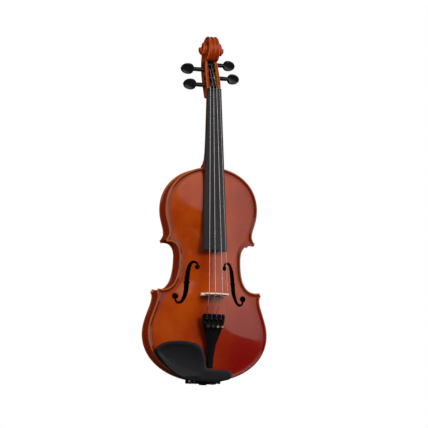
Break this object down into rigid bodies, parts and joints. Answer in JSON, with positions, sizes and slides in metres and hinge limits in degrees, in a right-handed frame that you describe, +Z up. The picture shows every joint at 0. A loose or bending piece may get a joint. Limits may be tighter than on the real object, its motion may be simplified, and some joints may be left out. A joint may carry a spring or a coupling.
{
  "type": "violin",
  "caption": "Full-size violin with arched plates, pegs that turn, fine tuners that work their levers, and a clamped chin rest.",
  "frame": {"origin": "centre of the end button's outer flat face", "axes": "+Z up the body towards the scroll, -Y out of the top plate towards the strings, +X towards the treble side"},
  "size_m": [0.2066, 0.1029, 0.5853],
  "materials": {
    "varnished_maple": "gloss red-brown varnish over flamed maple",
    "varnished_spruce": "gloss orange-red varnish over fine straight-grained spruce",
    "purfling": "thin dark inlaid strip under varnish",
    "bare_spruce": "bare planed spruce",
    "ebony": "polished black wood with faint pores",
    "bridge_maple": "bare pale maple with fine flecks",
    "black_fitting": "smooth black satin to gloss",
    "string_steel": "fine wound metal",
    "tailgut": "matte black nylon cord",
    "brass_screw": "bright turned brass",
    "plated_steel": "bright plated steel",
    "cork": "matte granular cork"
  },
  "bodies": {
    "root": {"back_plate": "varnished_maple", "bass_bar": "bare_spruce", "bridge": "bridge_maple", "chin_rest": "black_fitting", "chin_rest_bracket": "plated_steel", "cork_pad_bass": "cork", "cork_pad_treble": "cork", "corner_block_lower_bass": "bare_spruce", "corner_block_lower_treble": "bare_spruce", "corner_block_upper_bass": "bare_spruce", "corner_block_upper_treble": "bare_spruce", "end_block": "bare_spruce", "end_button": "ebony", "fingerboard": "ebony", "lining_lower_bass": "bare_spruce", "lining_lower_treble": "bare_spruce", "lining_middle_bass": "bare_spruce", "lining_middle_treble": "bare_spruce", "lining_upper_bass": "bare_spruce", "lining_upper_treble": "bare_spruce", "neck": "varnished_maple", "neck_block": "bare_spruce", "nut": "ebony", "purfling_back": "purfling", "purfling_top_bass": "purfling", "purfling_top_treble": "purfling", "rib_lower_bass": "varnished_maple", "rib_lower_treble": "varnished_maple", "rib_middle_bass": "varnished_maple", "rib_middle_treble": "varnished_maple", "rib_upper_bass": "varnished_maple", "rib_upper_treble": "varnished_maple", "saddle": "ebony", "sound_post": "bare_spruce", "string_a": "string_steel", "string_d": "string_steel", "string_e": "string_steel", "string_g": "string_steel", "tailgut": "tailgut", "tailpiece": "black_fitting", "top_plate": "varnished_spruce"},
    "peg_g": {"peg_g": "ebony"},
    "peg_d": {"peg_d": "ebony"},
    "peg_a": {"peg_a": "ebony"},
    "peg_e": {"peg_e": "ebony"},
    "tuner_screw_g": {"tuner_screw_g": "brass_screw"},
    "tuner_knob_g": {"tuner_knob_g": "black_fitting"},
    "tuner_lever_g": {"tuner_lever_g": "plated_steel"},
    "tuner_screw_d": {"tuner_screw_d": "brass_screw"},
    "tuner_knob_d": {"tuner_knob_d": "black_fitting"},
    "tuner_lever_d": {"tuner_lever_d": "plated_steel"},
    "tuner_screw_a": {"tuner_screw_a": "brass_screw"},
    "tuner_knob_a": {"tuner_knob_a": "black_fitting"},
    "tuner_lever_a": {"tuner_lever_a": "plated_steel"},
    "tuner_screw_e": {"tuner_screw_e": "brass_screw"},
    "tuner_knob_e": {"tuner_knob_e": "black_fitting"},
    "tuner_lever_e": {"tuner_lever_e": "plated_steel"},
    "clamp_barrel_bass": {"clamp_barrel_bass": "plated_steel"},
    "clamp_barrel_treble": {"clamp_barrel_treble": "plated_steel"},
    "clamp_foot": {"clamp_foot": "plated_steel"}
  },
  "joints": [
    {"name": "peg_g_turn", "type": "hinge", "parent": "root", "child": "peg_g", "pos_m": [0, 0, 0.5013], "axis": [1, 0, 0], "continuous": true},
    {"name": "peg_d_turn", "type": "hinge", "parent": "root", "child": "peg_d", "pos_m": [0, 0.012, 0.5287], "axis": [1, 0, 0], "continuous": true},
    {"name": "peg_a_turn", "type": "hinge", "parent": "root", "child": "peg_a", "pos_m": [0, 0.018, 0.5385], "axis": [1, 0, 0], "continuous": true},
    {"name": "peg_e_turn", "type": "hinge", "parent": "root", "child": "peg_e", "pos_m": [0, 0.005, 0.5147], "axis": [1, 0, 0], "continuous": true},
    {"name": "tuner_g_travel", "type": "slide", "parent": "root", "child": "tuner_screw_g", "axis": [0, 1, 0], "range_m": [-0.00075, 0.00075]},
    {"name": "tuner_g_turn", "type": "hinge", "parent": "tuner_screw_g", "child": "tuner_knob_g", "pos_m": [-0.0124, -0.05655, 0.0955], "axis": [0, 1, 0], "range_deg": [-542, 542]},
    {"name": "tuner_g_lever", "type": "hinge", "parent": "root", "child": "tuner_lever_g", "pos_m": [-0.0124, -0.04074, 0.1075], "axis": [1, 0, 0], "range_deg": [-3.65, 3.65]},
    {"name": "tuner_d_travel", "type": "slide", "parent": "root", "child": "tuner_screw_d", "axis": [0, 1, 0], "range_m": [-0.00075, 0.00075]},
    {"name": "tuner_d_turn", "type": "hinge", "parent": "tuner_screw_d", "child": "tuner_knob_d", "pos_m": [-0.0042, -0.05655, 0.0955], "axis": [0, 1, 0], "range_deg": [-542, 542]},
    {"name": "tuner_d_lever", "type": "hinge", "parent": "root", "child": "tuner_lever_d", "pos_m": [-0.0042, -0.04074, 0.1075], "axis": [1, 0, 0], "range_deg": [-3.65, 3.65]},
    {"name": "tuner_a_travel", "type": "slide", "parent": "root", "child": "tuner_screw_a", "axis": [0, 1, 0], "range_m": [-0.00075, 0.00075]},
    {"name": "tuner_a_turn", "type": "hinge", "parent": "tuner_screw_a", "child": "tuner_knob_a", "pos_m": [0.0042, -0.05655, 0.0955], "axis": [0, 1, 0], "range_deg": [-542, 542]},
    {"name": "tuner_a_lever", "type": "hinge", "parent": "root", "child": "tuner_lever_a", "pos_m": [0.0042, -0.04074, 0.1075], "axis": [1, 0, 0], "range_deg": [-3.65, 3.65]},
    {"name": "tuner_e_travel", "type": "slide", "parent": "root", "child": "tuner_screw_e", "axis": [0, 1, 0], "range_m": [-0.00075, 0.00075]},
    {"name": "tuner_e_turn", "type": "hinge", "parent": "tuner_screw_e", "child": "tuner_knob_e", "pos_m": [0.0124, -0.05655, 0.0955], "axis": [0, 1, 0], "range_deg": [-542, 542]},
    {"name": "tuner_e_lever", "type": "hinge", "parent": "root", "child": "tuner_lever_e", "pos_m": [0.0124, -0.04074, 0.1075], "axis": [1, 0, 0], "range_deg": [-3.65, 3.65]},
    {"name": "barrel_bass_turn", "type": "hinge", "parent": "root", "child": "clamp_barrel_bass", "pos_m": [-0.021, 0, 0.0039], "axis": [0, 1, 0], "range_deg": [-2, 1442]},
    {"name": "barrel_treble_turn", "type": "hinge", "parent": "root", "child": "clamp_barrel_treble", "pos_m": [0.018, 0, 0.0039], "axis": [0, 1, 0], "range_deg": [-2, 1442]},
    {"name": "clamp_open", "type": "slide", "parent": "root", "child": "clamp_foot", "axis": [0, 1, 0], "range_m": [0, 0.0056]}
  ],
  "couplings": [
    {"joint": "tuner_g_turn", "follows": "tuner_g_travel", "rad_per_m": 12566},
    {"joint": "tuner_g_lever", "follows": "tuner_g_travel", "rad_per_m": 83.333},
    {"joint": "tuner_d_turn", "follows": "tuner_d_travel", "rad_per_m": 12566},
    {"joint": "tuner_d_lever", "follows": "tuner_d_travel", "rad_per_m": 83.333},
    {"joint": "tuner_a_turn", "follows": "tuner_a_travel", "rad_per_m": 12566},
    {"joint": "tuner_a_lever", "follows": "tuner_a_travel", "rad_per_m": 83.333},
    {"joint": "tuner_e_turn", "follows": "tuner_e_travel", "rad_per_m": 12566},
    {"joint": "tuner_e_lever", "follows": "tuner_e_travel", "rad_per_m": 83.333},
    {"joint": "barrel_bass_turn", "follows": "clamp_open", "rad_per_m": 4488},
    {"joint": "barrel_treble_turn", "follows": "clamp_open", "rad_per_m": 4488}
  ]
}
